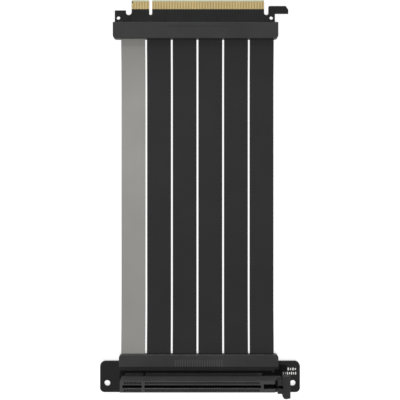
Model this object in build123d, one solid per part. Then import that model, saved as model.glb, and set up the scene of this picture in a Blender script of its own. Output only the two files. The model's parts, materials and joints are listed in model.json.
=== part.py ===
from build123d import *
import math
import os

# Flat extension cable for an x16 expansion card, in millimetres.
# A plug board with edge fingers lies at the +Y end, a card slot with its latch stands at the
# -Y end, and two layers of flat ribbons join them. X runs along the slot, +Z is up.
# The origin is on the table, under the middle of the whole part.

# Stack heights, from the table up
shell_thickness = 4.6
shell_ceiling = 0.9
slot_board_thickness = 1.6
plug_board_thickness = 1.5
finger_thickness = 0.04
fit_gap = 0.05

# How far shapes run into each other where one joins or cuts the other
overlap = 1.0

# Ribbons
ribbon_count = 6
ribbon_width = 15.2
ribbon_gap = 1.15
ribbon_thickness = 0.6
ribbon_layer_gap = 0.1
ribbon_span = 200.3
ribbon_centre_x = -1.6
ribbon_straight_exit = 1.0
ribbon_bend_run = 8.0
ribbon_settle_run = 30.0
ribbon_table_gap = 0.05
ribbon_edge_radius = 0.2

# Stripped wire ends
wires_per_ribbon = 8
wire_pitch = 1.8
wire_width = 0.35
wire_thickness = 0.25
wire_bare_length = 1.0
wire_bend_room = 0.2
wire_lap = 2.4

# Edge fingers and card tab, the standard x16 layout
contact_pitch = 1.0
contacts_short = 11
contacts_long = 71
finger_width = 0.7
finger_length = 4.8
finger_short_cut = 1.0
short_fingers_upper = {1}
short_fingers_lower = {17, 31, 48, 81}
key_notch_width = 1.9
key_to_finger = 0.55
end_to_finger = 0.6
bevel_length = 1.0
bevel_angle = 20.0
plug_key_x = -31.35

# Plug board outline
ear_width = 7.1
ear_notch_width = 3.6
ear_height = 7.7
notch_depth_from_tip = 9.5
hook_notch_width = 2.75
hook_post_width = 4.1
hook_height = 10.5
hook_arm_height = 4.7
hook_reach = 12.6
hook_chamfer_x = 1.6
hook_chamfer_y = 2.4
hook_corner_radius = 0.7
hook_inner_radius = 0.6
finger_root = 8.5
tooling_hole_radius = 1.15
tooling_hole_height = 3.0
tooling_hole_inset = 2.3

# Shells
plug_shell_depth = 10.3
slot_shell_depth = 7.8
plug_wall = 1.0
slot_wall = 0.8
plug_board_cover = 7.8
shell_side_room = 0.1
plug_shell_right_room = 1.0
slot_shell_left_room = 1.3
slot_shell_right_room = 2.8
shell_corner_radius = 2.0
shell_edge_chamfer = 0.25
recess_width = 37.9
recess_height = 5.3
recess_depth = 0.12
recess_offset_x = 0.15
peg_radius = 0.7
peg_hole_gap = 0.15
peg_boss_radius = 1.3
plug_peg_inset = 3.0
slot_peg_inset = 1.9
rib_count = 20
rib_pitch = 1.55
rib_width = 0.6
rib_length = 4.0
rib_height = 0.2
rib_inset = 0.5

# Slot board
slot_board_width = 126.9
slot_board_low = 6.9
slot_board_high = 12.85
board_radius_high = 3.4
board_radius_low = 2.8
slot_shell_from_slot = 9.4
screw_hole_radius = 1.9
screw_hole_spacing = 117.8
screw_hole_drop = 1.2

# Slot housing, heights above its board
slot_key_x = -35.1
housing_width = 7.1
housing_height = 11.25
housing_lift = 0.3
groove_width = 1.8
groove_floor = 3.1
groove_lead_in = 0.12
card_end_margin = 1.1
card_end_gap = 0.15
key_rib_width = 1.5
end_wall = 1.6
extension_length = 7.0
extension_groove_width = 3.0
extension_lead_in = 0.12
cavity_width = 0.55
cavity_inner = 1.5
cavity_outer = 3.0
rail_depth = 1.6
cavity_shelf = 2.4
foot_reach = 1.84
foot_height = 1.44
foot_end_room = 0.6
locating_peg_radius = 1.15
locating_peg_length = 1.2

# Spring contacts of the slot
contact_width = 0.4
contact_thickness = 0.2
contact_bend_height = 4.0
contact_touch_height = 7.0
contact_touch_y = 0.6
contact_bow_depth = 0.3
contact_tip_height = 9.2
contact_tip_y = 1.9
contact_toe_inset = 0.3

# Latch and its cradle, measured from the pivot
pivot_from_extension = 3.25
pivot_height = 4.0
cradle_floor_thickness = 1.0
cradle_floor_past_pivot = 1.2
cheek_thickness = 1.0
cheek_radius = 3.0
trunnion_radius = 0.8
trunnion_gap = 0.06
latch_side_gap = 0.2
latch_hub_radius = 2.3
latch_clearance = 0.4
latch_half_width = 4.1
latch_skirt_thickness = 0.35
latch_skirt_drop = 0.35
latch_nose_reach = 1.6
latch_nose_height = 8.3
latch_pad_front = 1.25
latch_pad_height = 9.2
latch_pad_flat = 3.5
latch_pad_outer = 6.2
latch_pad_outer_height = 7.8
latch_wall_outer = 5.5
latch_tab_reach = 7.0
latch_back_reach = 6.8
latch_tab_under = 5.0
latch_tab_draft = 0.2
latch_tab_corner = 1.8
latch_groove_floor = 2.3
latch_roof_front = 1.6
latch_groove_end = 3.1
latch_roof_under = 7.95

# Insulating pad under the slot board
pad_half_length = 50.0
pad_edge_inset = 0.4

# Worked out: heights
mid_z = shell_thickness / 2
slot_board_z0 = mid_z - slot_board_thickness / 2
slot_board_z1 = mid_z + slot_board_thickness / 2
plug_board_z0 = mid_z - plug_board_thickness / 2
plug_board_z1 = mid_z + plug_board_thickness / 2
layer_offset = (ribbon_thickness + ribbon_layer_gap) / 2

# Worked out: places along Y
tip_above_shell = finger_root + finger_length + bevel_length
slot_to_shell_top = slot_shell_from_slot + slot_shell_depth
slot_to_tip = slot_to_shell_top + ribbon_span + plug_shell_depth + tip_above_shell
slot_y = (max(slot_board_low, latch_tab_reach) - slot_to_tip) / 2
slot_shell_y0 = slot_y + slot_shell_from_slot
slot_shell_y1 = slot_shell_y0 + slot_shell_depth
plug_shell_y0 = slot_shell_y1 + ribbon_span
plug_shell_y1 = plug_shell_y0 + plug_shell_depth
plug_board_y0 = plug_shell_y1 - plug_board_cover
slot_board_y0 = slot_y - slot_board_low
slot_board_y1 = slot_y + slot_board_high
tip_y = plug_shell_y1 + tip_above_shell
slot_jacket_y = slot_board_y1 + wire_bare_length
plug_jacket_y = plug_board_y0 - wire_bare_length

# Worked out: places along X
ribbon_pitch = ribbon_width + ribbon_gap
ribbon_set_width = ribbon_count * ribbon_pitch - ribbon_gap
ribbon_left = ribbon_centre_x - ribbon_set_width / 2
ribbon_right = ribbon_centre_x + ribbon_set_width / 2
ribbon_xs = [ribbon_left + ribbon_width / 2 + i * ribbon_pitch for i in range(ribbon_count)]
short_tab = (contacts_short - 1) * contact_pitch + key_to_finger + end_to_finger
long_tab = (contacts_long - 1) * contact_pitch + key_to_finger + end_to_finger
tab_left = plug_key_x - key_notch_width / 2 - short_tab
tab_right = plug_key_x + key_notch_width / 2 + long_tab
ear_right = tab_left - ear_notch_width
ear_left = ear_right - ear_width
hook_left = tab_right + hook_notch_width
post_right = hook_left + hook_post_width
plug_shell_x0 = min(ear_left, ribbon_left) - plug_wall - shell_side_room
plug_shell_x1 = max(post_right, ribbon_right) + plug_wall + plug_shell_right_room
slot_shell_x0 = ribbon_left - slot_shell_left_room
slot_shell_x1 = ribbon_right + slot_shell_right_room
key_to_contact = key_notch_width / 2 + key_to_finger
peg_xs = [ribbon_left - ribbon_gap / 2 + n * ribbon_pitch for n in (1, ribbon_count - 1)]

# Worked out: the slot, along X
card_end = key_to_contact + card_end_margin + card_end_gap
slot_room_left = slot_key_x - (contacts_short - 1) * contact_pitch - card_end
slot_room_right = slot_key_x + (contacts_long - 1) * contact_pitch + card_end
housing_x0 = slot_room_left - end_wall
divider_x1 = slot_room_right + end_wall
housing_x1 = divider_x1 + extension_length
pivot_x = housing_x1 + pivot_from_extension
pivot_z = slot_board_z1 + pivot_height
slot_top_z = slot_board_z1 + housing_height
half_housing = housing_width / 2


def contact_xs(key_x):
    """Centres of all contacts of one row, the short section first."""
    short = [key_x - key_to_contact - k * contact_pitch for k in range(contacts_short)]
    long = [key_x + key_to_contact + k * contact_pitch for k in range(contacts_long)]
    return short, long


def block(x0, x1, y0, y1, z0, z1):
    """A box between two corners."""
    return Pos(x0, y0, z0) * Box(x1 - x0, y1 - y0, z1 - z0, align=(Align.MIN, Align.MIN, Align.MIN))


def post(x, y, z0, z1, radius):
    """An upright round post."""
    shape = Cylinder(radius, z1 - z0, align=(Align.CENTER, Align.CENTER, Align.MIN))
    return Pos(x, y, z0) * shape


def cross_bar(points, x, width):
    """A profile in Y and Z, pushed along X by width, centred on x."""
    face = Plane.YZ * make_face(Polyline(*points, close=True))
    return Pos(x, 0, 0) * extrude(face, width / 2, both=True)


def side_plate(points, y0, y1):
    """A profile in X and Z, filled from y0 to y1."""
    face = Plane.XZ * make_face(Polyline(*points, close=True))
    return Pos(0, y1, 0) * extrude(face, y1 - y0)


def group(solids):
    """Separate solids that share one node."""
    return Compound(children=[part for solid in solids for part in solid.solids()])


def save(shape, name):
    export_step(shape, f"parts/{name}.step")


# Plug board


def plug_board():
    """The plug's board: ear, edge tab with its key notch, and the hook."""
    root_y = plug_shell_y1
    notch_y = tip_y - notch_depth_from_tip
    hook_top = root_y + hook_height
    arm_low = hook_top - hook_arm_height
    hook_tip = hook_left + hook_reach
    outline = Polyline(
        (ear_left, plug_board_y0),
        (ear_left, root_y + ear_height),
        (ear_right, root_y + ear_height),
        (ear_right, notch_y),
        (tab_left, notch_y),
        (tab_left, tip_y),
        (tab_right, tip_y),
        (tab_right, notch_y),
        (hook_left, notch_y),
        (hook_left, hook_top),
        (hook_tip - hook_chamfer_x, hook_top),
        (hook_tip, hook_top - hook_chamfer_y),
        (hook_tip, arm_low),
        (post_right, arm_low),
        (post_right, plug_board_y0),
        close=True,
    )
    shape = make_face(outline)
    cut_length = notch_depth_from_tip + bevel_length
    shape -= Pos(plug_key_x, notch_y + cut_length / 2) * Rectangle(key_notch_width, cut_length)
    shape = fillet(corners_at(shape, [ear_right, tab_left], notch_y), ear_notch_width / 2 - fit_gap)
    shape = fillet(corners_at(shape, [tab_right, hook_left], notch_y), hook_notch_width / 2 - fit_gap)
    key_sides = [plug_key_x - key_notch_width / 2, plug_key_x + key_notch_width / 2]
    shape = fillet(corners_at(shape, key_sides, notch_y), key_notch_width / 2 - fit_gap)
    shape = fillet(corners_at(shape, [hook_left], hook_top), hook_corner_radius)
    shape = fillet(corners_at(shape, [post_right], arm_low), hook_inner_radius)
    for x in tooling_xs():
        shape -= Pos(x, root_y + tooling_hole_height) * Circle(tooling_hole_radius)
    for x in peg_xs:
        shape -= Pos(x, plug_peg_y()) * Circle(peg_radius + peg_hole_gap)
    board = Pos(0, 0, plug_board_z0) * extrude(shape, plug_board_thickness)
    return board - bevel_cuts()


def corners_at(shape, xs, y):
    """The outline's corners at the given places."""
    near = 1e-4
    found = [v for v in shape.vertices() if abs(v.Y - y) < near]
    return [v for v in found if any(abs(v.X - x) < near for x in xs)]


def bevel_cuts():
    """What the bevel takes off both faces along the tab's leading edge."""
    depth = bevel_length * math.tan(math.radians(bevel_angle))
    middle = (tab_left + tab_right) / 2
    width = tab_right - tab_left + overlap
    cuts = []
    for face_z, side in ((plug_board_z1, 1), (plug_board_z0, -1)):
        start = (tip_y - bevel_length, face_z)
        deep = (tip_y, face_z - side * depth)
        past = (tip_y + bevel_length, face_z - side * 2 * depth)
        corner = (tip_y + bevel_length, face_z + side * depth)
        above = (tip_y - bevel_length, face_z + side * depth)
        cuts.append(cross_bar([start, deep, past, corner, above], middle, width))
    return cuts


def tooling_xs():
    """Centres of the two tooling holes."""
    return ear_left + tooling_hole_inset, post_right - tooling_hole_inset


def plug_peg_y():
    return plug_board_y0 + plug_peg_inset


def slot_peg_y():
    return slot_board_y1 - slot_peg_inset


def fingers(face_z, side, short_places):
    """One face's gold fingers, with the shorter ones that sense the card."""
    z0, z1 = sorted((face_z, face_z + side * finger_thickness))
    short, long = contact_xs(plug_key_x)
    xs = sorted(short + long)
    y0 = plug_shell_y1 + finger_root
    pads = []
    for number, x in enumerate(xs, start=1):
        cut = finger_short_cut if number in short_places else 0
        y1 = y0 + finger_length - cut
        pads.append(block(x - finger_width / 2, x + finger_width / 2, y0, y1, z0, z1))
    return group(pads)


# Shells


def shell_half(x0, x1, y0, y1, upper, round_y):
    """A half shell, rounded at the two corners on the ribbons' side, with bevelled outer edges."""
    outline = Pos((x0 + x1) / 2, (y0 + y1) / 2) * Rectangle(x1 - x0, y1 - y0)
    outline = fillet(corners_at(outline, [x0, x1], round_y), shell_corner_radius)
    z0 = mid_z if upper else 0
    half = Pos(0, 0, z0) * extrude(outline, mid_z)
    outer = half.faces().sort_by(Axis.Z)[-1 if upper else 0]
    return chamfer(outer.edges(), shell_edge_chamfer)


def ribbon_windows(y0, y1):
    """Where the ribbons pass through a shell's wall."""
    high = ribbon_thickness + ribbon_layer_gap / 2 + fit_gap
    half = ribbon_width / 2 + fit_gap
    return [block(x - half, x + half, y0, y1, mid_z - high, mid_z + high) for x in ribbon_xs]


def plug_shell(upper):
    """One half of the shell that clamps the plug board and its ribbons."""
    x0, x1, y0, y1 = plug_shell_x0, plug_shell_x1, plug_shell_y0, plug_shell_y1
    half = shell_half(x0, x1, y0, y1, upper, y0)
    cuts = [
        block(
            x0 + plug_wall,
            x1 - plug_wall,
            y0 + plug_wall,
            y1 - plug_wall,
            shell_ceiling,
            shell_thickness - shell_ceiling,
        ),
        block(
            ear_left - fit_gap,
            post_right + fit_gap,
            y1 - plug_wall - fit_gap,
            y1 + plug_wall,
            plug_board_z0 - fit_gap,
            plug_board_z1 + fit_gap,
        ),
    ]
    cuts += ribbon_windows(y0 - plug_wall, y0 + plug_wall + fit_gap)
    half -= cuts
    if upper:
        middle_x = (x0 + x1) / 2 + recess_offset_x
        middle_y = (y0 + y1) / 2
        half -= block(
            middle_x - recess_width / 2,
            middle_x + recess_width / 2,
            middle_y - recess_height / 2,
            middle_y + recess_height / 2,
            shell_thickness - recess_depth,
            shell_thickness + overlap,
        )
    return with_pegs(half, upper, plug_peg_y(), plug_board_z0, plug_board_z1)


def slot_shell(upper):
    """One half of the shell that clamps the slot board and its ribbons."""
    x0, x1, y0, y1 = slot_shell_x0, slot_shell_x1, slot_shell_y0, slot_shell_y1
    half = shell_half(x0, x1, y0, y1, upper, y1)
    cuts = [
        block(
            x0 + slot_wall,
            x1 - slot_wall,
            y0 + slot_wall,
            y1 - slot_wall,
            shell_ceiling,
            shell_thickness - shell_ceiling,
        ),
        block(
            -slot_board_width / 2,
            slot_board_width / 2,
            slot_board_y0,
            slot_board_y1 + fit_gap,
            slot_board_z0 - fit_gap,
            slot_board_z1 + fit_gap,
        ),
    ]
    cuts += ribbon_windows(y1 - slot_wall - fit_gap, y1 + slot_wall)
    half -= cuts
    if upper:
        first = (x0 + x1) / 2 - (rib_count - 1) * rib_pitch / 2
        low = y0 + rib_inset
        top = shell_thickness + rib_height
        half += [
            block(
                first + n * rib_pitch - rib_width / 2,
                first + n * rib_pitch + rib_width / 2,
                low,
                low + rib_length,
                shell_thickness - shell_ceiling,
                top,
            )
            for n in range(rib_count)
        ]
    return with_pegs(half, upper, slot_peg_y(), slot_board_z0, slot_board_z1)


def with_pegs(half, upper, y, board_z0, board_z1):
    """Adds the bosses that hold the board, and the upper half's pegs through it."""
    floor = shell_ceiling
    ceiling = shell_thickness - shell_ceiling
    for x in peg_xs:
        if upper:
            half += post(x, y, board_z1 + fit_gap, ceiling, peg_boss_radius)
            half += post(x, y, floor + fit_gap, ceiling, peg_radius)
        else:
            half += post(x, y, floor, board_z0 - fit_gap, peg_boss_radius)
            half -= post(x, y, floor, board_z0, peg_radius + fit_gap)
    return half


# Ribbons and their wire ends


def ribbon(x, side):
    """One ribbon: level in both shells, and sunk to the table in between."""
    z = mid_z + side * layer_offset - ribbon_thickness / 2
    sink = mid_z - layer_offset - ribbon_thickness / 2 - ribbon_table_gap
    edges = ribbon_curve(z, sink)
    edges += ribbon_curve(z + ribbon_thickness, sink)
    for y in (slot_jacket_y, plug_jacket_y):
        edges.append(Line((y, z), (y, z + ribbon_thickness)))
    face = Plane.YZ * make_face(Curve() + edges)
    strip = Pos(x, 0, 0) * extrude(face, ribbon_width / 2, both=True)
    sides = [e for e in strip.edges() if abs(e.center().X - x) > ribbon_width / 4]
    long_edges = [e for e in sides if e.length > ribbon_thickness + fit_gap]
    return fillet(long_edges, ribbon_edge_radius)


def ribbon_curve(z, sink):
    """The side view of a ribbon's face: at each shell a short bend down, then a long one to level."""
    low = z - sink
    run = ribbon_bend_run + ribbon_settle_run
    turn_z = z - sink * ribbon_bend_run / run
    a = slot_shell_y1 + ribbon_straight_exit
    b = a + run
    d = plug_shell_y0 - ribbon_straight_exit
    c = d - run
    down_turn = (a + ribbon_bend_run, turn_z)
    up_turn = (d - ribbon_bend_run, turn_z)
    down_1 = TangentArc((a, z), down_turn, tangent=(1, 0))
    down_2 = TangentArc(down_turn, (b, low), tangent=down_1 % 1)
    up_1 = TangentArc((c, low), up_turn, tangent=(1, 0))
    up_2 = TangentArc(up_turn, (d, z), tangent=up_1 % 1)
    return [
        Line((slot_jacket_y, z), (a, z)),
        down_1,
        down_2,
        Line((b, low), (c, low)),
        up_1,
        up_2,
        Line((d, z), (plug_jacket_y, z)),
    ]


def wire_ends(jacket_y, board_edge_y, face_z, side):
    """Bare wires that leave one layer's jackets and lie on one face of a board."""
    inward = 1 if board_edge_y > jacket_y else -1
    start = mid_z + side * (layer_offset - wire_thickness / 2)
    on_face = board_edge_y - inward * wire_bend_room
    end = board_edge_y + inward * wire_lap
    up = side * wire_thickness
    profile = [
        (jacket_y, start),
        (on_face, face_z),
        (end, face_z),
        (end, face_z + up),
        (on_face, face_z + up),
        (jacket_y, start + up),
    ]
    offsets = [(k - (wires_per_ribbon - 1) / 2) * wire_pitch for k in range(wires_per_ribbon)]
    wire = cross_bar(profile, 0, wire_width)
    return group([Pos(x + dx, 0, 0) * wire for x in ribbon_xs for dx in offsets])


# Slot board, housing and contacts


def slot_board():
    """The slot's board, with its screw ears and the holes for the pegs."""
    middle_y = (slot_board_y0 + slot_board_y1) / 2
    outline = Pos(0, middle_y) * Rectangle(slot_board_width, slot_board_y1 - slot_board_y0)
    sides = [-slot_board_width / 2, slot_board_width / 2]
    outline = fillet(corners_at(outline, sides, slot_board_y1), board_radius_high)
    outline = fillet(corners_at(outline, sides, slot_board_y0), board_radius_low)
    for x in (-screw_hole_spacing / 2, screw_hole_spacing / 2):
        outline -= Pos(x, slot_y - screw_hole_drop) * Circle(screw_hole_radius)
    for x in locating_peg_xs():
        outline -= Pos(x, slot_y) * Circle(locating_peg_radius + fit_gap)
    for x in peg_xs:
        outline -= Pos(x, slot_peg_y()) * Circle(peg_radius + peg_hole_gap)
    return Pos(0, 0, slot_board_z0) * extrude(outline, slot_board_thickness)


def locating_peg_xs():
    """The housing's pegs: one under the key, one under the extension."""
    return slot_key_x, divider_x1 + extension_length / 2


def cavity_tool(x):
    """What one pair of contacts takes out of the housing."""
    base = slot_board_z1
    top = slot_top_z + overlap
    rail = slot_top_z - rail_depth
    past_foot = half_housing + foot_reach + overlap
    right = [
        (cavity_inner, base + cavity_shelf),
        (cavity_inner, base - overlap),
        (past_foot, base - overlap),
        (past_foot, base + foot_height + fit_gap),
        (cavity_outer, base + foot_height + fit_gap),
        (cavity_outer, top),
        (cavity_inner, top),
        (cavity_inner, rail),
    ]
    left = [(-y, z) for y, z in reversed(right)]
    points = [(slot_y + y, z) for y, z in right + left]
    return cross_bar(points, x, cavity_width)


def groove_tool(x0, x1, width, lead_in):
    """A card groove with a lead-in at its mouth."""
    half = width / 2
    floor = slot_board_z1 + groove_floor
    right = [
        (half, floor),
        (half, slot_top_z - lead_in),
        (half + lead_in, slot_top_z),
        (half + lead_in, slot_top_z + overlap),
    ]
    left = [(-y, z) for y, z in reversed(right)]
    points = [(slot_y + y, z) for y, z in right + left]
    return cross_bar(points, (x0 + x1) / 2, x1 - x0)


def cheek(side):
    """One side of the latch's cradle, round about the pivot."""
    inner = slot_y + side * (half_housing - cheek_thickness)
    y0, y1 = sorted((inner, slot_y + side * half_housing))
    base = slot_board_z1
    wall = block(housing_x1 - overlap, pivot_x, y0, y1, base, pivot_z + cheek_radius)
    foot = block(pivot_x - overlap, pivot_x + cradle_floor_past_pivot, y0, y1, base, pivot_z)
    disc = Pos(pivot_x, y1, pivot_z) * Rot(90, 0, 0) * Cylinder(
        cheek_radius, y1 - y0, align=(Align.CENTER, Align.CENTER, Align.MIN)
    )
    return wall + foot + disc


def slot_housing():
    """The slot's moulding: two grooves, the key rib, contact cavities, feet and latch cradle."""
    base = slot_board_z1
    lift = base + housing_lift
    low, high = slot_y - half_housing, slot_y + half_housing
    short, long = contact_xs(slot_key_x)
    half_key = key_rib_width / 2
    foot_low, foot_high = low - foot_reach, high + foot_reach
    foot_top = base + foot_height
    body = block(housing_x0, housing_x1, low, high, lift, slot_top_z)
    body += [
        block(housing_x0, slot_room_left, low, high, base, lift + overlap),
        block(slot_room_right, divider_x1, low, high, base, lift + overlap),
    ]
    short_foot = (short[-1] - foot_end_room, short[0] + foot_end_room)
    long_foot = (long[0] - foot_end_room, divider_x1)
    for foot_left, foot_right in (short_foot, long_foot):
        body += block(foot_left, foot_right, foot_low, foot_high, base, foot_top)
    floor_end = pivot_x + cradle_floor_past_pivot
    floor_top = base + cradle_floor_thickness
    body += [
        block(housing_x1 - overlap, floor_end, low, high, base, floor_top),
        cheek(1),
        cheek(-1),
    ]
    for x in locating_peg_xs():
        body += post(x, slot_y, base - locating_peg_length, lift + overlap, locating_peg_radius)
    body -= [
        groove_tool(slot_room_left, slot_key_x - half_key, groove_width, groove_lead_in),
        groove_tool(slot_key_x + half_key, slot_room_right, groove_width, groove_lead_in),
        groove_tool(divider_x1, housing_x1 + overlap, extension_groove_width, extension_lead_in),
        pivot_bar(trunnion_radius + trunnion_gap, housing_width + overlap),
    ]
    body -= [cavity_tool(x) for x in short + long]
    return body


def pivot_bar(radius, length):
    """A bar along the latch's pivot."""
    return Pos(pivot_x, slot_y, pivot_z) * Rot(90, 0, 0) * Cylinder(radius, length)


def contacts(side):
    """One row of spring contacts: foot on the board, back on the cavity wall, bow in the groove."""
    base = slot_board_z1
    back = cavity_outer
    front = cavity_outer - contact_thickness
    toe = half_housing + foot_reach - contact_toe_inset
    profile = [
        (toe, base),
        (toe, base + contact_thickness),
        (back, base + contact_thickness),
        (back, base + contact_bend_height),
        (contact_touch_y + contact_bow_depth, base + contact_touch_height),
        (contact_tip_y + contact_thickness, base + contact_tip_height),
        (contact_tip_y, base + contact_tip_height),
        (contact_touch_y, base + contact_touch_height),
        (front, base + contact_bend_height - contact_thickness / 2),
        (front, base),
    ]
    points = [(slot_y + side * y, z) for y, z in profile]
    short, long = contact_xs(slot_key_x)
    spring = cross_bar(points, 0, contact_width)
    return group([Pos(x, 0, 0) * spring for x in short + long])


# Latch


def at_pivot(points):
    """Places given from the pivot, in X and Z."""
    return [(pivot_x + u, pivot_z + w) for u, w in points]


def latch_lever():
    """The retention latch: forked nose, thumb pad with a tab on each side, and two trunnions."""
    clear = cheek_radius + latch_clearance
    half_stem = half_housing - cheek_thickness - latch_side_gap
    nose = [
        (-latch_nose_reach, clear),
        (-latch_nose_reach, latch_nose_height),
        (latch_pad_front, latch_nose_height),
        (latch_pad_front, clear),
    ]
    crown = [
        (latch_pad_front, clear),
        (latch_pad_front, latch_pad_height),
        (latch_pad_flat, latch_pad_height),
        (latch_pad_outer, latch_pad_outer_height),
        (latch_wall_outer, -latch_skirt_drop),
        (clear, -latch_skirt_drop),
        (clear, clear),
    ]
    skirt = [
        (latch_pad_front, -latch_skirt_drop),
        (latch_pad_front, clear),
        (clear, clear),
        (clear, -latch_skirt_drop),
    ]
    stem = [(-latch_nose_reach, 0), (-latch_nose_reach, clear), (clear, clear), (clear, 0)]
    wide0, wide1 = slot_y - latch_half_width, slot_y + latch_half_width
    lever = side_plate(at_pivot(nose), wide0, wide1)
    lever += side_plate(at_pivot(crown), wide0, wide1)
    lever += side_plate(at_pivot(stem), slot_y - half_stem, slot_y + half_stem)
    lever += side_plate(at_pivot(skirt), wide1 - latch_skirt_thickness, wide1)
    lever += side_plate(at_pivot(skirt), wide0, wide0 + latch_skirt_thickness)
    lever += pivot_bar(latch_hub_radius, 2 * half_stem)
    lever += pivot_bar(trunnion_radius, housing_width - cheek_thickness / 2)
    lever += front_tab(wide0)
    lever += side_plate(at_pivot(tab_profile()), wide1 - fit_gap, slot_y + latch_back_reach)
    half_groove = groove_width / 2
    y0, y1 = slot_y - half_groove, slot_y + half_groove
    nose_x = pivot_x - latch_nose_reach
    roof_x = pivot_x + latch_roof_front
    groove_x = pivot_x + latch_groove_end
    floor = pivot_z + latch_groove_floor
    top = pivot_z + latch_pad_height
    lever -= block(nose_x - overlap, roof_x, y0, y1, floor, top + overlap)
    lever -= block(roof_x - overlap, groove_x, y0, y1, floor, pivot_z + latch_roof_under)
    return lever


def tab_profile():
    """The side view of both thumb tabs, from the pivot."""
    return [
        (latch_pad_front, latch_tab_under),
        (latch_pad_front, latch_pad_height),
        (latch_pad_flat, latch_pad_height),
        (latch_pad_outer, latch_pad_outer_height),
        (latch_pad_outer - latch_tab_draft, latch_tab_under),
    ]


def front_tab(wide0):
    """The thumb tab that stands out past the slot's front side, with one rounded corner."""
    tab_y = slot_y - latch_tab_reach
    outline = Polyline(
        (pivot_x + latch_pad_front, wide0),
        (pivot_x + latch_pad_front, tab_y),
        (pivot_x + latch_pad_outer, tab_y),
        (pivot_x + latch_pad_outer, wide0),
        close=True,
    )
    face = fillet(corners_at(make_face(outline), [pivot_x + latch_pad_front], tab_y), latch_tab_corner)
    slab = Pos(0, 0, pivot_z) * extrude(face, latch_pad_height)
    return slab & side_plate(at_pivot(tab_profile()), tab_y, wide0)


# Pad under the slot board


def insulation_pad():
    """A flat pad that keeps the board's underside off what it lies on."""
    y0 = slot_board_y0 + pad_edge_inset
    y1 = slot_shell_y0 - pad_edge_inset
    return block(-pad_half_length, pad_half_length, y0, y1, 0, slot_board_z0)


os.makedirs("parts", exist_ok=True)

save(plug_board(), "plug_board")
save(fingers(plug_board_z1, 1, short_fingers_upper), "plug_fingers_upper")
save(fingers(plug_board_z0, -1, short_fingers_lower), "plug_fingers_lower")
save(plug_shell(True), "plug_shell_upper")
save(plug_shell(False), "plug_shell_lower")
for number, x in enumerate(ribbon_xs, start=1):
    save(ribbon(x, 1), f"ribbon_upper_{number}")
    save(ribbon(x, -1), f"ribbon_lower_{number}")
save(wire_ends(plug_jacket_y, plug_board_y0, plug_board_z1, 1), "plug_wires_upper")
save(wire_ends(plug_jacket_y, plug_board_y0, plug_board_z0, -1), "plug_wires_lower")
save(wire_ends(slot_jacket_y, slot_board_y1, slot_board_z1, 1), "slot_wires_upper")
save(wire_ends(slot_jacket_y, slot_board_y1, slot_board_z0, -1), "slot_wires_lower")
save(slot_shell(True), "slot_shell_upper")
save(slot_shell(False), "slot_shell_lower")
save(slot_board(), "slot_board")
save(slot_housing(), "slot_housing")
save(contacts(1), "slot_contacts_rear")
save(contacts(-1), "slot_contacts_front")
save(latch_lever(), "latch_lever")
save(insulation_pad(), "insulation_pad")
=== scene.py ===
import json
import math

import bmesh
import bpy
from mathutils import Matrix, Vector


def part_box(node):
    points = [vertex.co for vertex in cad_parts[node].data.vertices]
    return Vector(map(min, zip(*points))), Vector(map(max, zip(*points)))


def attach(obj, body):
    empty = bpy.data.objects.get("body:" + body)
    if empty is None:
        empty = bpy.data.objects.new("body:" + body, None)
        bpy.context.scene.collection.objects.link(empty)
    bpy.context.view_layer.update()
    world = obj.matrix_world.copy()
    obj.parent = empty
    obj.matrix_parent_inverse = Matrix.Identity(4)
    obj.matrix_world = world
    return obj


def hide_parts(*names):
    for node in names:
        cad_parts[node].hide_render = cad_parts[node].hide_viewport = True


# Looks for the flat x16 extension cable: softened mouldings and boards, ribbons with their wires
# showing through the jacket, gold edge fingers and a plain white studio table. All in metres.

MM = 0.001

# Camera, straight above the cable
PHOTO_PIXELS = 400
FOCAL_PIXELS = 598.5
SENSOR_WIDTH = 36.0
EYE_ABOVE_BOARD = 380 * MM
EYE_FROM_SLOT = 115.1 * MM

# Studio light: how bright each makes a white surface that lies level, and where the lamps stand.
# In reflections the surround is brighter.
WORLD_LEVEL = 0.22
WORLD_IN_GLOSS = 0.62
KEY_LEVEL = 0.6
KEY_DISTANCE = 1.3
KEY_ELEVATION = math.radians(68.5)
KEY_TURN = math.radians(194)
KEY_SIZE = (0.05, 0.05)
RIM_LEVEL = 0.19
RIM_DISTANCE = 1.4
RIM_ELEVATION = math.radians(14)
RIM_TURN = math.radians(24)
RIM_SIZE = (0.5, 0.24)

# Table
TABLE_RADIUS = 12.0
TABLE_SIDES = 96
TABLE_GLOW = 0.8
TABLE_COLOUR = (0.3, 0.3, 0.3, 1)
TABLE_MOTTLE = 1.04

# Mesh work
MERGE_DISTANCE = 0.0005 * MM
FLAT_ANGLE = math.radians(0.6)
SHARP_ANGLE = math.radians(32)
ROUND_STEPS = 2

# Radius on the edges of each softened piece
SHELL_ROUND = 0.1 * MM
HOUSING_ROUND = 0.05 * MM
LATCH_ROUND = 0.14 * MM
PLUG_BOARD_ROUND = 0.06 * MM
SLOT_BOARD_ROUND = 0.08 * MM

# Sizes shared with the construction
CONTACT_PITCH = 1.0 * MM
KEY_TO_CONTACT = 1.5 * MM
BEVEL_LENGTH = 1.0 * MM
RIBBON_COUNT = 6
RIBBON_THICKNESS = 0.6 * MM
RIBBON_STRAIGHT_EXIT = 1.0 * MM
RIBBON_BEND_RUN = 8.0 * MM
RIBBON_SETTLE_RUN = 30.0 * MM
PLUG_KEY_X = -31.35 * MM
SLOT_KEY_X = -35.1 * MM

# The ribbons' shape: soft edges, wires under the jacket, and steps along the bends
WIRE_PITCH = 0.9 * MM
WIRE_DIP = 0.008 * MM
WIRE_STEPS = 4
RIBBON_EDGE_ROUND = 0.25 * MM
EDGE_STEPS = 4
STRAIGHT_STEPS = 10
BEND_STEPS = 12
SETTLE_STEPS = 16

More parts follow.
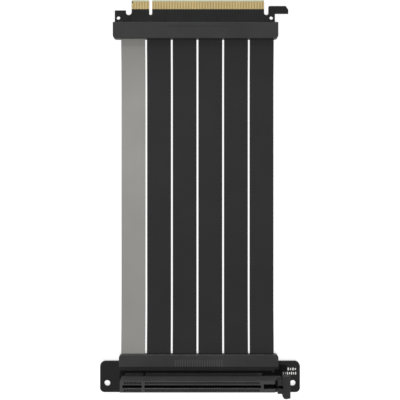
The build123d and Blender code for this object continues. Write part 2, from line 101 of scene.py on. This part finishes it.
# The jacket's painted shade towards the shells: how dark, how much, and from where to where along Y
END_PAINTED_SHADE = 0.55
PLUG_PAINTED_SHADE_SHARE = 0.55
PLUG_PAINTED_SHADE_RUN = (60 * MM, 103 * MM)
SLOT_PAINTED_SHADE_SHARE = 0.45
SLOT_PAINTED_SHADE_RUN = (20 * MM, -100 * MM)

# Plain bars on the slot board's ear. Each row: how far past the slot, first bar, count and pitch
BAR_ROWS = ((7.8 * MM, 56.0 * MM, 4, 1.5 * MM), (5.1 * MM, 52.9 * MM, 7, 1.3 * MM))
BAR_SHARE = 0.55
BAR_HEIGHT = 1.7 * MM
SHORT_BAR = 0.75
BAR_THICKNESS = 0.015 * MM
BAR_CORNER = 0.2 * MM
BAR_CORNER_STEPS = 3

# Board colours, most of them from a darker to a paler tone
SOLDER_MASK = ((0.016, 0.016, 0.0165, 1), (0.021, 0.021, 0.0217, 1))
TRACK_TONE = (0.028, 0.029, 0.029, 1)
BARE_LAMINATE = ((0.09, 0.08, 0.045, 1), (0.15, 0.135, 0.08, 1))
CUT_CORE = ((0.3, 0.31, 0.2, 1), (0.6, 0.6, 0.44, 1))
ROUTED_EDGE = ((0.02, 0.02, 0.016, 1), (0.045, 0.044, 0.034, 1))
STEEP_SIDE = 0.55
WEAVE_SCALE = 5200.0
TRACK_HEIGHT = 3.0
BEVEL_ROUGHNESS = 0.75

# Stretched textures, in turns per metre along X, Y and Z
JACKET_STREAKS = (2600.0, 14.0, 600.0)
METAL_STROKES = (9000.0, 260.0, 900.0)

# How much of each mark shows in the colour
RUBBED_SHARE = 0.6
RAISED_SHARE = 0.5
TRACK_SHARE = 0.5
STREAK_SHARE = 0.3
STREAK_RUN = (0.3, 0.7)
WIRE_SHARE = 0.12
DUST_ON_MOULDING = (0.25, (0.3, 0.3, 0.29, 1))
DUST_ON_JACKET = (0.2, (0.4, 0.4, 0.39, 1))

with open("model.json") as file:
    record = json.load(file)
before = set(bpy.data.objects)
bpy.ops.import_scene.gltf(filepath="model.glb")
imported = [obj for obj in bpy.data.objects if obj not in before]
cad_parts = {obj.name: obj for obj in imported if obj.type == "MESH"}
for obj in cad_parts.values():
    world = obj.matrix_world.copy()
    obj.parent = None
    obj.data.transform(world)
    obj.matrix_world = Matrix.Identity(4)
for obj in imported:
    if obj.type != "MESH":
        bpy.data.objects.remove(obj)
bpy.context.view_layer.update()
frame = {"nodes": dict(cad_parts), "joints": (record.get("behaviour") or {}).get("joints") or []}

# The latch pivots on the slot's middle line
board_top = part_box("slot_board")[1].z
slot_y = frame["joints"][0]["pos_m"][1]


# Node trees


def place(tree, kind, values=None, **settings):
    """Adds a shader node, sets it up and links or fills its inputs."""
    made = tree.nodes.new(kind)
    for label, value in settings.items():
        setattr(made, label, value)
    for socket, value in (values or {}).items():
        if isinstance(value, bpy.types.NodeSocket):
            tree.links.new(value, made.inputs[socket])
        else:
            made.inputs[socket].default_value = value
    return made


def calculate(tree, operation, *values, clamp=False):
    """One step of arithmetic."""
    inputs = dict(enumerate(values))
    return place(tree, "ShaderNodeMath", inputs, operation=operation, use_clamp=clamp).outputs[0]


def multiply(tree, first, *others):
    """The product of two or more values."""
    for other in others:
        first = calculate(tree, "MULTIPLY", first, other)
    return first


def remap(tree, value, low, high, to_low, to_high):
    """Stretches a run of values to another, held at both ends."""
    values = {0: value, 1: low, 2: high, 3: to_low, 4: to_high}
    return place(tree, "ShaderNodeMapRange", values).outputs[0]


def blend_colour(tree, factor, first, second):
    """One colour over another."""
    values = {0: factor, 6: first, 7: second}
    return place(tree, "ShaderNodeMix", values, data_type="RGBA").outputs[2]


def mark_over(tree, colour, mask, share, tone):
    """The colour, with a share of another tone where the mask is."""
    return blend_colour(tree, multiply(tree, mask, share), colour, tone)


def axes(tree):
    """The point's place on the part, whole and along X, Y and Z."""
    where = place(tree, "ShaderNodeTexCoord").outputs["Object"]
    return where, place(tree, "ShaderNodeSeparateXYZ", {0: where}).outputs


def facing_up(tree):
    """How far the surface faces up, from -1 to 1."""
    normal = place(tree, "ShaderNodeNewGeometry").outputs["Normal"]
    return place(tree, "ShaderNodeSeparateXYZ", {0: normal}).outputs["Z"]


def noise(tree, where, scale, detail, distortion=0.0):
    """Cloudy noise, mostly near the middle of 0 to 1."""
    values = {"Vector": where, "Scale": scale, "Detail": detail, "Distortion": distortion}
    return place(tree, "ShaderNodeTexNoise", values).outputs["Fac"]


def stretched_noise(tree, where, turns_per_metre):
    """Noise drawn out along an axis."""
    drawn = place(tree, "ShaderNodeMapping", {"Vector": where, "Scale": turns_per_metre})
    return noise(tree, drawn.outputs[0], scale=1.0, detail=3.0)


def relief(tree, height, strength, distance):
    """A normal that follows heights too small to model."""
    values = {"Height": height, "Strength": strength, "Distance": distance}
    return place(tree, "ShaderNodeBump", values).outputs["Normal"]


def new_effect(name, inputs, outputs):
    """A node group with named inputs and outputs, and its two ends."""
    tree = bpy.data.node_groups.new(name, "ShaderNodeTree")
    for label, value in inputs.items():
        socket = tree.interface.new_socket(name=label, in_out="INPUT", socket_type="NodeSocketFloat")
        socket.default_value = value
    for label in outputs:
        tree.interface.new_socket(name=label, in_out="OUTPUT", socket_type="NodeSocketFloat")
    start, end = tree.nodes.new("NodeGroupInput"), tree.nodes.new("NodeGroupOutput")
    return tree, start.outputs, end.inputs


def use(tree, effect, **values):
    """Places an effect in a material with its own values."""
    made = tree.nodes.new("ShaderNodeGroup")
    made.node_tree = effect
    for label, value in values.items():
        made.inputs[label.replace("_", " ").capitalize()].default_value = value
    return made.outputs


# Shared effects


def moulded_grain():
    """Fine pitted skin of a moulding: a height, and a shade that wanders over larger areas."""
    pit_share, speckle_share = 0.6, 0.4
    darkest, palest = 0.45, 0.95
    inputs = {"Grain size": 0.3 * MM, "Patch size": 12 * MM}
    tree, start, end = new_effect("moulded_grain", inputs, ("Height", "Shade"))
    where, _ = axes(tree)
    fine_scale = calculate(tree, "DIVIDE", 1.0, start["Grain size"])
    patch_scale = calculate(tree, "DIVIDE", 1.0, start["Patch size"])
    pits = place(tree, "ShaderNodeTexVoronoi", {"Vector": where, "Scale": fine_scale})
    bumps = noise(tree, where, fine_scale, detail=3.0)
    patches = noise(tree, where, patch_scale, detail=2.0)
    height = calculate(tree, "ADD", multiply(tree, pits.outputs["Distance"], pit_share), bumps)
    shade = calculate(tree, "ADD", patches, multiply(tree, bumps, speckle_share))
    tree.links.new(height, end["Height"])
    tree.links.new(remap(tree, shade, darkest, palest, 0.0, 1.0), end["Shade"])
    return tree


def rubbed_edges():
    """Where handling has polished the edges and corners."""
    flat_turn, edge_turn = 0.995, 0.86
    worn_scale, worn_from, worn_to = 420.0, 0.35, 0.65
    tree, start, end = new_effect("rubbed_edges", {"Edge width": 0.15 * MM, "Break up": 0.4}, ("Mask",))
    rounded = place(tree, "ShaderNodeBevel", {"Radius": start["Edge width"]}, samples=6)
    plain = place(tree, "ShaderNodeNewGeometry")
    normals = {0: rounded.outputs["Normal"], 1: plain.outputs["Normal"]}
    turn = place(tree, "ShaderNodeVectorMath", normals, operation="DOT_PRODUCT").outputs["Value"]
    edge = remap(tree, turn, flat_turn, edge_turn, 0.0, 1.0)
    where, _ = axes(tree)
    kept = remap(tree, noise(tree, where, worn_scale, detail=4.0), worn_from, worn_to, 0.0, 1.0)
    lost = multiply(tree, start["Break up"], calculate(tree, "SUBTRACT", 1.0, kept))
    kept = calculate(tree, "SUBTRACT", 1.0, lost)
    tree.links.new(calculate(tree, "MULTIPLY", edge, kept, clamp=True), end["Mask"])
    return tree


def handled_sheen():
    """Patches that hands and cloths have left a little shinier."""
    smear_scale, smear_from, smear_to = 70.0, 0.35, 0.68
    tree, start, end = new_effect("handled_sheen", {"Dull": 0.6, "Shiny": 0.4}, ("Roughness",))
    where, _ = axes(tree)
    smear = noise(tree, where, smear_scale, detail=5.0, distortion=1.2)
    roughness = remap(tree, smear, smear_from, smear_to, start["Dull"], start["Shiny"])
    tree.links.new(roughness, end["Roughness"])
    return tree


def settled_dust():
    """Sparse pale specks that lie on what faces up."""
    slope_from, slope_to = 0.7, 0.95
    tree, start, end = new_effect("settled_dust", {"Spacing": 2.2 * MM, "Speck": 0.05}, ("Mask",))
    where, _ = axes(tree)
    scale = calculate(tree, "DIVIDE", 1.0, start["Spacing"])
    specks = place(tree, "ShaderNodeTexVoronoi", {"Vector": where, "Scale": scale, "Randomness": 1.0})
    near = calculate(tree, "LESS_THAN", specks.outputs["Distance"], start["Speck"])
    upward = remap(tree, facing_up(tree), slope_from, slope_to, 0.0, 1.0)
    tree.links.new(multiply(tree, near, upward), end["Mask"])
    return tree


def cross_stripes():
    """Stripes side by side along X, with soft sides: copper tracks, or the wires in a ribbon."""
    solid_part, faded_part = 0.7, 1.3
    inputs = {"Pitch": CONTACT_PITCH, "First": 0.0, "Share": 0.3}
    tree, start, end = new_effect("cross_stripes", inputs, ("Mask",))
    _, axis = axes(tree)
    along = calculate(tree, "SUBTRACT", axis["X"], start["First"])
    turns = calculate(tree, "DIVIDE", along, start["Pitch"])
    rest = calculate(tree, "FRACT", calculate(tree, "ADD", turns, 0.5))
    off = calculate(tree, "ABSOLUTE", calculate(tree, "SUBTRACT", rest, 0.5))
    half = multiply(tree, start["Share"], 0.5)
    solid = multiply(tree, half, solid_part)
    faded = multiply(tree, half, faded_part)
    tree.links.new(remap(tree, off, solid, faded, 1.0, 0.0), end["Mask"])
    return tree


grain_effect = moulded_grain()
edge_effect = rubbed_edges()
sheen_effect = handled_sheen()
dust_effect = settled_dust()
stripe_effect = cross_stripes()


# Materials


def new_finish(name):
    """An empty material with its shader, ready for a finish."""
    material = bpy.data.materials.new(name)
    material.use_nodes = True
    tree = material.node_tree
    return material, tree, tree.nodes["Principled BSDF"]


def connect(tree, shader, **sockets):
    """Links values that change over the surface to the shader."""
    for label, value in sockets.items():
        tree.links.new(value, shader.inputs[label.replace("_", " ")])


def moulding(name, dark, pale, edge, dull, shiny, grain_size, grain_depth, specular, raised_from=None):
    """A matt moulded plastic: grained skin, rubbed edges and raised marks, and a few specks."""
    material, tree, shader = new_finish(name)
    grain = use(tree, grain_effect, grain_size=grain_size, patch_size=14 * MM)
    rub = use(tree, edge_effect, edge_width=0.14 * MM, break_up=0.45)
    dust = use(tree, dust_effect, spacing=3.0 * MM, speck=0.018)
    sheen = use(tree, sheen_effect, dull=dull, shiny=shiny)
    colour = blend_colour(tree, grain["Shade"], dark, pale)
    colour = mark_over(tree, colour, rub["Mask"], RUBBED_SHARE, edge)
    if raised_from is not None:
        _, axis = axes(tree)
        raised = calculate(tree, "GREATER_THAN", axis["Z"], raised_from)
        colour = mark_over(tree, colour, raised, RAISED_SHARE, edge)
    colour = mark_over(tree, colour, dust["Mask"], *DUST_ON_MOULDING)
    normal = relief(tree, grain["Height"], strength=0.5, distance=grain_depth)
    shader.inputs["Specular IOR Level"].default_value = specular
    connect(tree, shader, Base_Color=colour, Roughness=sheen["Roughness"], Normal=normal)
    return material


def shell_plastic():
    return moulding(
        "shell_plastic",
        dark=(0.0225, 0.0225, 0.0232, 1),
        pale=(0.03, 0.03, 0.0307, 1),
        edge=(0.075, 0.075, 0.078, 1),
        dull=0.62,
        shiny=0.5,
        grain_size=0.22 * MM,
        grain_depth=0.02 * MM,
        specular=0.4,
        raised_from=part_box("plug_shell_upper")[1].z + MERGE_DISTANCE,
    )


def slot_plastic():
    return moulding(
        "slot_plastic",
        dark=(0.035, 0.035, 0.036, 1),
        pale=(0.047, 0.047, 0.048, 1),
        edge=(0.08, 0.08, 0.083, 1),
        dull=0.55,
        shiny=0.42,
        grain_size=0.16 * MM,
        grain_depth=0.012 * MM,
        specular=0.45,
    )


def latch_plastic():
    return moulding(
        "latch_plastic",
        dark=(0.012, 0.012, 0.0126, 1),
        pale=(0.018, 0.018, 0.0186, 1),
        edge=(0.07, 0.07, 0.073, 1),
        dull=0.56,
        shiny=0.44,
        grain_size=0.18 * MM,
        grain_depth=0.012 * MM,
        specular=0.4,
    )


def pad_foam():
    return moulding(
        "pad_foam",
        dark=(0.014, 0.014, 0.014, 1),
        pale=(0.024, 0.024, 0.024, 1),
        edge=(0.03, 0.03, 0.03, 1),
        dull=0.95,
        shiny=0.85,
        grain_size=0.5 * MM,
        grain_depth=0.08 * MM,
        specular=0.3,
    )


def circuit_board(name, contacts, key_x, track_from, track_to, bevel_from):
    """Black solder mask over faint tracks, bare laminate between the edge fingers, and cut edges."""
    material, tree, shader = new_finish(name)
    where, axis = axes(tree)
    low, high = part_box(contacts)
    grain = use(tree, grain_effect, grain_size=0.12 * MM, patch_size=9 * MM)
    sheen = use(tree, sheen_effect, dull=0.5, shiny=0.36)
    stripes = use(tree, stripe_effect, pitch=CONTACT_PITCH, first=key_x + KEY_TO_CONTACT, share=0.34)
    weave = noise(tree, where, WEAVE_SCALE, detail=2.0)
    tracks = multiply(
        tree,
        stripes["Mask"],
        calculate(tree, "GREATER_THAN", axis["Y"], track_from),
        calculate(tree, "LESS_THAN", axis["Y"], track_to),
        calculate(tree, "GREATER_THAN", axis["X"], low.x),
        calculate(tree, "LESS_THAN", axis["X"], high.x),
    )
    bare = multiply(
        tree,
        calculate(tree, "GREATER_THAN", axis["Y"], track_to),
        calculate(tree, "LESS_THAN", axis["X"], high.x + CONTACT_PITCH),
    )
    side = calculate(tree, "LESS_THAN", calculate(tree, "ABSOLUTE", facing_up(tree)), STEEP_SIDE)
    bevelled = calculate(tree, "GREATER_THAN", axis["Y"], bevel_from)
    mask = blend_colour(tree, grain["Shade"], *SOLDER_MASK)
    colour = mark_over(tree, mask, tracks, TRACK_SHARE, TRACK_TONE)
    colour = blend_colour(tree, bare, colour, blend_colour(tree, weave, *BARE_LAMINATE))
    colour = blend_colour(tree, side, colour, blend_colour(tree, weave, *ROUTED_EDGE))
    colour = blend_colour(tree, bevelled, colour, blend_colour(tree, weave, *CUT_CORE))
    raised = calculate(tree, "ADD", grain["Height"], multiply(tree, tracks, TRACK_HEIGHT))
    rough = calculate(tree, "MAXIMUM", sheen["Roughness"], multiply(tree, bevelled, BEVEL_ROUGHNESS))
    normal = relief(tree, raised, strength=0.45, distance=0.01 * MM)
    shader.inputs["Specular IOR Level"].default_value = 0.08
    connect(tree, shader, Base_Color=colour, Roughness=rough, Normal=normal)
    return material


def ribbon_jacket(name, dark, pale, line, left_x):
    """A satin jacket: lines over the wires, soft mottling, and painted shade that darkens it towards
    both shells.
    """
    material, tree, shader = new_finish(name)
    where, axis = axes(tree)
    grain = use(tree, grain_effect, grain_size=0.25 * MM, patch_size=30 * MM)
    sheen = use(tree, sheen_effect, dull=0.6, shiny=0.5)
    dust = use(tree, dust_effect, spacing=4.0 * MM, speck=0.014)
    wires = use(tree, stripe_effect, pitch=WIRE_PITCH, first=left_x, share=0.24)
    streaks = stretched_noise(tree, where, JACKET_STREAKS)
    # Painted shade: the jacket darkens towards the plug shell and towards the slot end. This stands in
    # for the shells' shadow and the light's falloff.
    plug_painted_shade = remap(tree, axis["Y"], *PLUG_PAINTED_SHADE_RUN, 0.0, PLUG_PAINTED_SHADE_SHARE)
    slot_painted_shade = remap(tree, axis["Y"], *SLOT_PAINTED_SHADE_RUN, 0.0, SLOT_PAINTED_SHADE_SHARE)
    painted_shade_colour = tuple(c * END_PAINTED_SHADE for c in dark[:3]) + (1,)
    colour = blend_colour(tree, grain["Shade"], dark, pale)
    colour = blend_colour(tree, calculate(tree, "ADD", plug_painted_shade, slot_painted_shade), colour, painted_shade_colour)
    colour = blend_colour(tree, remap(tree, streaks, *STREAK_RUN, 0.0, STREAK_SHARE), colour, line)
    colour = mark_over(tree, colour, wires["Mask"], WIRE_SHARE, line)
    colour = mark_over(tree, colour, dust["Mask"], *DUST_ON_JACKET)
    raised = calculate(tree, "ADD", grain["Height"], streaks)
    normal = relief(tree, raised, strength=0.4, distance=0.012 * MM)
    shader.inputs["Specular IOR Level"].default_value = 0.35
    connect(tree, shader, Base_Color=colour, Roughness=sheen["Roughness"], Normal=normal)
    return material


def plated_metal(name, plain, warm, dull, shiny, grain_size):
    """Plated metal: brushed along the contact, with a slight drift of colour."""
    material, tree, shader = new_finish(name)
    where, _ = axes(tree)
    grain = use(tree, grain_effect, grain_size=grain_size, patch_size=6 * MM)
    sheen = use(tree, sheen_effect, dull=dull, shiny=shiny)
    strokes = stretched_noise(tree, where, METAL_STROKES)
    colour = blend_colour(tree, grain["Shade"], plain, warm)
    normal = relief(tree, strokes, strength=0.35, distance=0.004 * MM)
    shader.inputs["Metallic"].default_value = 1.0
    connect(tree, shader, Base_Color=colour, Roughness=sheen["Roughness"], Normal=normal)
    return material


def finger_gold():
    return plated_metal(
        "finger_gold",
        plain=(0.96, 0.75, 0.36, 1),
        warm=(0.9, 0.68, 0.3, 1),
        dull=0.42,
        shiny=0.3,
        grain_size=0.2 * MM,
    )


# Painted shade: the contacts are coloured almost black, as they look when shaded in their cavities and
# between the comb's teeth.
def contact_metal_in_painted_shade():
    return plated_metal(
        "contact_metal_in_painted_shade",
        plain=(0.07, 0.062, 0.05, 1),
        warm=(0.05, 0.045, 0.036, 1),
        dull=0.55,
        shiny=0.4,
        grain_size=0.15 * MM,
    )


def tinned_wire():
    return plated_metal(
        "tinned_wire",
        plain=(0.8, 0.79, 0.76, 1),
        warm=(0.66, 0.64, 0.6, 1),
        dull=0.4,
        shiny=0.25,
        grain_size=0.12 * MM,
    )


def white_print():
    """Screen-printed ink: chalky, a little thin in places."""
    thin, thick = (0.55, 0.55, 0.54, 1), (0.8, 0.8, 0.79, 1)
    material, tree, shader = new_finish("white_print")
    grain = use(tree, grain_effect, grain_size=0.1 * MM, patch_size=1.5 * MM)
    sheen = use(tree, sheen_effect, dull=0.75, shiny=0.6)
    colour = blend_colour(tree, grain["Shade"], thin, thick)
    normal = relief(tree, grain["Height"], strength=0.3, distance=0.005 * MM)
    connect(tree, shader, Base_Color=colour, Roughness=sheen["Roughness"], Normal=normal)
    return material


def table_white():
    """A white table: it glows white to the eye and in reflections, and still takes shadows."""
    material, tree, shader = new_finish("table_white")
    where, _ = axes(tree)
    lighter = tuple(c * TABLE_MOTTLE for c in TABLE_COLOUR[:3]) + (1,)
    faint = noise(tree, where, scale=30.0, detail=2.0)
    colour = blend_colour(tree, faint, TABLE_COLOUR, lighter)
    rays = place(tree, "ShaderNodeLightPath").outputs
    seen = calculate(tree, "MAXIMUM", rays["Is Camera Ray"], rays["Is Glossy Ray"])
    seen = calculate(tree, "MAXIMUM", seen, rays["Is Transmission Ray"])
    shader.inputs["Roughness"].default_value = 0.9
    shader.inputs["Specular IOR Level"].default_value = 0.1
    shader.inputs["Emission Color"].default_value = (1, 1, 1, 1)
    connect(tree, shader, Base_Color=colour, Emission_Strength=multiply(tree, seen, TABLE_GLOW))
    return material


# Meshes


def finish_mesh(name, shape, material, body, slot, *nodes):
    """Turns a bmesh into a piece of the part that stands for the given nodes."""
    mesh = bpy.data.meshes.new(name)
    bmesh.ops.recalc_face_normals(shape, faces=shape.faces)
    shape.to_mesh(mesh)
    shape.free()
    mesh.materials.append(material)
    mesh.polygons.foreach_set("use_smooth", [True] * len(mesh.polygons))
    mesh.set_sharp_from_angle(angle=SHARP_ANGLE)
    piece = bpy.data.objects.new(name, mesh)
    bpy.context.scene.collection.objects.link(piece)
    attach(piece, body)
    if nodes:
        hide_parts(*nodes)
    return piece


def softened(node, name, radius, material, slot, body="cable"):
    """Replaces a piece by one with its sharp edges rounded over, as a mould or a router leaves them."""
    shape = bmesh.new()
    shape.from_mesh(frame["nodes"][node].data)
    bmesh.ops.remove_doubles(shape, verts=shape.verts, dist=MERGE_DISTANCE)
    bmesh.ops.dissolve_limit(shape, angle_limit=FLAT_ANGLE, verts=shape.verts, edges=shape.edges)
    sharp = [e for e in shape.edges if len(e.link_faces) == 2 and e.calc_face_angle(0) > SHARP_ANGLE]
    bmesh.ops.bevel(
        shape,
        geom=sharp,
        offset=radius,
        offset_type="OFFSET",
        segments=ROUND_STEPS,
        profile=0.5,
        affect="EDGES",
        clamp_overlap=True,
    )
    piece = finish_mesh(name, shape, material, body, slot, node)
    even = piece.modifiers.new("even_shading", "WEIGHTED_NORMAL")
    even.keep_sharp = True


# Ribbons


def strip_section(width):
    """The ribbon's cross-section: soft edges, and a shallow dip between the wires."""
    half_height = RIBBON_THICKNESS / 2
    flat = width / 2 - RIBBON_EDGE_ROUND
    count = round(2 * flat / WIRE_PITCH) * WIRE_STEPS
    face = []
    for i in range(1, count):
        dip = WIRE_DIP * (1 - abs(math.sin(math.pi * i / WIRE_STEPS)))
        face.append((flat - 2 * flat * i / count, half_height - dip))
    corner = []
    for i in range(EDGE_STEPS + 1):
        turn = math.pi / 2 * (1 - i / EDGE_STEPS)
        across = flat + RIBBON_EDGE_ROUND * math.cos(turn)
        corner.append((across, half_height - RIBBON_EDGE_ROUND + RIBBON_EDGE_ROUND * math.sin(turn)))
    upper_right = list(reversed(face)) + corner
    lower_right = [(x, -z) for x, z in reversed(upper_right)]
    lower_left = [(-x, -z) for x, z in corner]
    upper_left = [(-x, z) for x, z in reversed(corner)]
    return upper_right + lower_right + lower_left + upper_left


def arc_drop(along, run, drop):
    """How far an arc that starts level has fallen, when it falls by drop over its whole run."""
    radius = (run ** 2 + drop ** 2) / (2 * drop)
    return radius - math.sqrt(radius ** 2 - along ** 2)


def sink_at(y, low_y, high_y, depth):
    """How far the ribbon has sunk from the shells: by a short arc down, then a long one to level."""
    into = min(y - low_y, high_y - y) - RIBBON_STRAIGHT_EXIT
    run = RIBBON_BEND_RUN + RIBBON_SETTLE_RUN
    first_drop = depth * RIBBON_BEND_RUN / run
    if into <= 0:
        return 0.0
    if into >= run:
        return depth
    if into <= RIBBON_BEND_RUN:
        return arc_drop(into, RIBBON_BEND_RUN, first_drop)
    return depth - arc_drop(run - into, RIBBON_SETTLE_RUN, depth - first_drop)


def stations(first, last, low_y, high_y):
    """Places along the ribbon, close together where it bends."""
    bend_low = low_y + RIBBON_STRAIGHT_EXIT
    bend_high = high_y - RIBBON_STRAIGHT_EXIT
    turn_low = bend_low + RIBBON_BEND_RUN
    turn_high = bend_high - RIBBON_BEND_RUN
    rest_low = turn_low + RIBBON_SETTLE_RUN
    rest_high = turn_high - RIBBON_SETTLE_RUN
    marks = [first, bend_low, turn_low, rest_low, rest_high, turn_high, bend_high, last]
    steps = [1, BEND_STEPS, SETTLE_STEPS, STRAIGHT_STEPS, SETTLE_STEPS, BEND_STEPS, 1]
    places = [first]
    for start, stop, count in zip(marks, marks[1:], steps):
        places += [start + (stop - start) * (i + 1) / count for i in range(count)]
    return places


def ribbon_strip(node, name, material, slot):
    """One flat ribbon, from its trimmed end in one shell to its trimmed end in the other."""
    low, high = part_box(node)
    low_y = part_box("slot_shell_upper")[1].y
    high_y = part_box("plug_shell_upper")[0].y
    middle_x = (low.x + high.x) / 2
    level = high.z - RIBBON_THICKNESS / 2
    depth = high.z - low.z - RIBBON_THICKNESS
    section = strip_section(high.x - low.x)
    shape = bmesh.new()
    rings = []
    for y in stations(low.y, high.y, low_y, high_y):
        z = level - sink_at(y, low_y, high_y, depth)
        rings.append([shape.verts.new((middle_x + dx, y, z + dz)) for dx, dz in section])
    for ring, following in zip(rings, rings[1:]):
        for i in range(len(section)):
            j = (i + 1) % len(section)
            shape.faces.new((ring[i], ring[j], following[j], following[i]))
    shape.faces.new(rings[0])
    shape.faces.new(rings[-1])
    finish_mesh(name, shape, material, "cable", slot, node)


def all_ribbons():
    """Two layers of ribbons. The first one of each layer is grey."""
    left_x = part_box("ribbon_upper_1")[0].x + RIBBON_EDGE_ROUND
    grey = ribbon_jacket(
        "ribbon_jacket_grey",
        dark=(0.295, 0.29, 0.276, 1),
        pale=(0.335, 0.33, 0.314, 1),
        line=(0.262, 0.258, 0.245, 1),
        left_x=left_x,
    )
    black = ribbon_jacket(
        "ribbon_jacket_black",
        dark=(0.014, 0.014, 0.0145, 1),
        pale=(0.018, 0.018, 0.0185, 1),
        line=(0.012, 0.012, 0.012, 1),
        left_x=left_x,
    )
    for layer in ("upper", "lower"):
        for number in range(1, RIBBON_COUNT + 1):
            material, slot = (grey, "ribbon_grey") if number == 1 else (black, "ribbon_black")
            ribbon_strip(f"ribbon_{layer}_{number}", f"flat_ribbon_{layer}_{number}", material, slot)


# Printed bars


def printed_bars(material):
    """Plain white bars in two rows on the slot board's ear, in place of its lettering."""
    shape = bmesh.new()
    for past_slot, first, count, pitch in BAR_ROWS:
        for n in range(count):
            height = BAR_HEIGHT * (1.0 if n % 2 == 0 else SHORT_BAR)
            made = bmesh.ops.create_cube(shape, size=1.0)["verts"]
            bmesh.ops.scale(shape, vec=(pitch * BAR_SHARE, height, BAR_THICKNESS), verts=made)
            where = (first + n * pitch, slot_y + past_slot, board_top + BAR_THICKNESS / 2)
            bmesh.ops.translate(shape, vec=where, verts=made)
    upright = [e for e in shape.edges if abs(e.verts[0].co.z - e.verts[1].co.z) > BAR_THICKNESS / 2]
    bmesh.ops.bevel(
        shape,
        geom=upright,
        offset=BAR_CORNER,
        segments=BAR_CORNER_STEPS,
        profile=0.5,
        affect="EDGES",
    )
    finish_mesh("printed_bars", shape, material, "cable", "board")


# Dressing the part


def dress(material, *nodes):
    """Gives pieces that are carried over as they are their finish."""
    for node in nodes:
        for material_slot in frame["nodes"][node].material_slots:
            material_slot.link = "OBJECT"
            material_slot.material = material


def dress_mouldings():
    shell = shell_plastic()
    for end in ("plug", "slot"):
        softened(f"{end}_shell_upper", f"{end}_shell_cover", SHELL_ROUND, shell, "shell")
        softened(f"{end}_shell_lower", f"{end}_shell_tray", SHELL_ROUND, shell, "shell")
    softened("slot_housing", "slot_moulding", HOUSING_ROUND, slot_plastic(), "housing")
    softened("latch_lever", "latch_moulding", LATCH_ROUND, latch_plastic(), "latch", "latch")


def dress_boards():
    plug_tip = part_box("plug_board")[1].y
    plug_mask = circuit_board(
        "plug_board_mask",
        contacts="plug_fingers_upper",
        key_x=PLUG_KEY_X,
        track_from=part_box("plug_shell_upper")[1].y,
        track_to=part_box("plug_fingers_upper")[0].y,
        bevel_from=plug_tip - BEVEL_LENGTH,
    )
    slot_mask = circuit_board(
        "slot_board_mask",
        contacts="slot_contacts_rear",
        key_x=SLOT_KEY_X,
        track_from=slot_y,
        track_to=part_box("slot_board")[1].y,
        bevel_from=plug_tip,
    )
    softened("plug_board", "plug_circuit_board", PLUG_BOARD_ROUND, plug_mask, "board")
    softened("slot_board", "slot_circuit_board", SLOT_BOARD_ROUND, slot_mask, "board")


def dress_small_pieces():
    dress(finger_gold(), "plug_fingers_upper", "plug_fingers_lower")
    dress(contact_metal_in_painted_shade(), "slot_contacts_rear", "slot_contacts_front")
    dress(tinned_wire(), "plug_wires_upper", "plug_wires_lower", "slot_wires_upper", "slot_wires_lower")
    dress(pad_foam(), "insulation_pad")


# Studio


def studio_camera():
    """Looks straight down, with the plug end at the top."""
    data = bpy.data.cameras.new("photo_camera")
    data.sensor_width = SENSOR_WIDTH
    data.lens = SENSOR_WIDTH * FOCAL_PIXELS / PHOTO_PIXELS
    camera = bpy.data.objects.new("photo_camera", data)
    camera.location = (0, slot_y + EYE_FROM_SLOT, board_top + EYE_ABOVE_BOARD)
    bpy.context.scene.collection.objects.link(camera)
    bpy.context.scene.camera = camera


def soft_box(name, level, distance, elevation, turn, size):
    """A rectangular lamp that faces the part. Its turn is from +Y, towards -X."""
    data = bpy.data.lights.new(name, "AREA")
    data.shape = "RECTANGLE"
    data.size, data.size_y = size
    data.energy = level * math.pi ** 2 * distance ** 2 / math.sin(elevation)
    lamp = bpy.data.objects.new(name, data)
    flat = distance * math.cos(elevation)
    lamp.location = (-flat * math.sin(turn), flat * math.cos(turn), distance * math.sin(elevation))
    lamp.rotation_euler = (math.pi / 2 - elevation, 0, math.pi + turn)
    bpy.context.scene.collection.objects.link(lamp)
    return lamp


def studio_world():
    """A surround that is white to the eye, paler in reflections and dim as a light."""
    world = bpy.data.worlds.new("studio")
    world.use_nodes = True
    tree = world.node_tree
    rays = place(tree, "ShaderNodeLightPath").outputs
    level = multiply(tree, rays["Is Glossy Ray"], WORLD_IN_GLOSS)
    level = calculate(tree, "MAXIMUM", level, rays["Is Camera Ray"])
    level = calculate(tree, "MAXIMUM", level, WORLD_LEVEL)
    background = tree.nodes["Background"]
    background.inputs["Color"].default_value = (1, 1, 1, 1)
    tree.links.new(level, background.inputs["Strength"])
    bpy.context.scene.world = world


def studio_lamps():
    """A high box on the slot's side that leaves no glare, and a low one past the plug."""
    key = soft_box("key_box", KEY_LEVEL, KEY_DISTANCE, KEY_ELEVATION, KEY_TURN, KEY_SIZE)
    key.visible_glossy = False
    soft_box("rim_box", RIM_LEVEL, RIM_DISTANCE, RIM_ELEVATION, RIM_TURN, RIM_SIZE)


def studio_table():
    """A round white table top that reaches the horizon."""
    shape = bmesh.new()
    bmesh.ops.create_circle(shape, cap_ends=True, segments=TABLE_SIDES, radius=TABLE_RADIUS)
    mesh = bpy.data.meshes.new("table")
    shape.to_mesh(mesh)
    shape.free()
    mesh.materials.append(table_white())
    table = bpy.data.objects.new("table", mesh)
    bpy.context.scene.collection.objects.link(table)


dress_mouldings()
dress_boards()
all_ribbons()
printed_bars(white_print())
dress_small_pieces()
studio_camera()
studio_world()
studio_lamps()
studio_table()
bpy.context.scene.view_settings.view_transform = "Standard"
